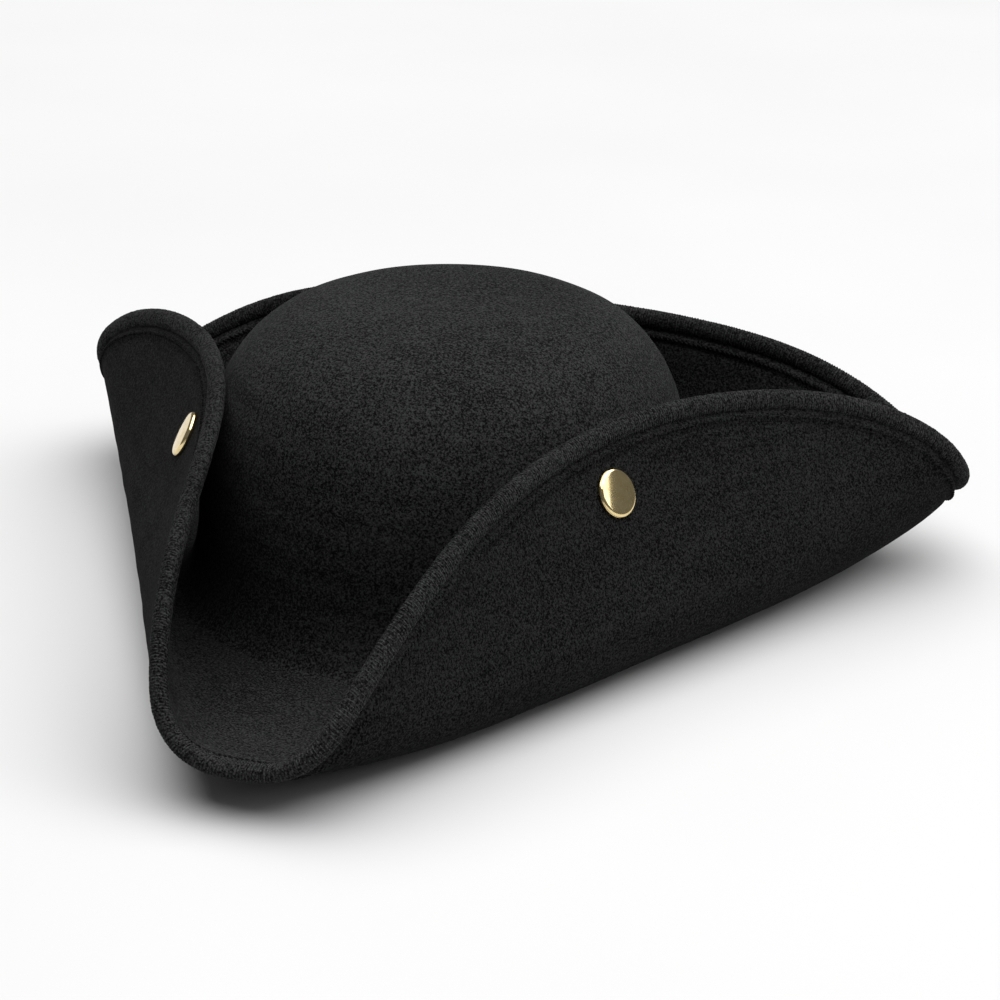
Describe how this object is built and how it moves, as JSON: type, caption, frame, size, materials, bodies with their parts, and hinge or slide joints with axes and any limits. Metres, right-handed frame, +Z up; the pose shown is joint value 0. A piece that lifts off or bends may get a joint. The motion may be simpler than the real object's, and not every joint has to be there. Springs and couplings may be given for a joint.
{
  "type": "tricorn hat",
  "caption": "Black velour tricorn hat with a domed crown, a wide brim folded up into flaps, a stitched rolled hem and round brass buttons.",
  "frame": {"origin": "centre of the head opening, on the surface that the hat stands on", "axes": "+Z up through the crown, -Y towards the front point of the brim, +X towards the wearer's left"},
  "size_m": [0.3792, 0.3561, 0.1172],
  "materials": {
    "black_velour": "short brushed pile",
    "stiffener": "stiff needled felt",
    "lining": "satin",
    "sweatband": "ribbed woven tape",
    "thread": "spun thread",
    "label": "woven satin, blank",
    "wire": "drawn",
    "ferrule": "crimped",
    "button_brass": "polished, lightly scratched",
    "button_post": "plain",
    "washer": "matte"
  },
  "bodies": {
    "root": {"back_button_cap": "button_brass", "back_button_post": "button_post", "brim_board": "stiffener", "brim_under_velour": "black_velour", "brim_wire": "wire", "crown_lining": "lining", "crown_shell": "stiffener", "hem_lock_stitch_top": "thread", "hem_lock_stitch_under": "thread", "hem_overlock": "thread", "hem_roll": "black_velour", "left_backing_washer": "washer", "left_button_cap": "button_brass", "left_button_post": "button_post", "left_tack_thread": "thread", "right_backing_washer": "washer", "right_button_cap": "button_brass", "right_button_post": "button_post", "right_tack_thread": "thread", "size_label": "label", "sweatband": "sweatband", "sweatband_stitches": "thread", "velour_cover": "black_velour", "wire_ferrule": "ferrule"}
  },
  "joints": []
}
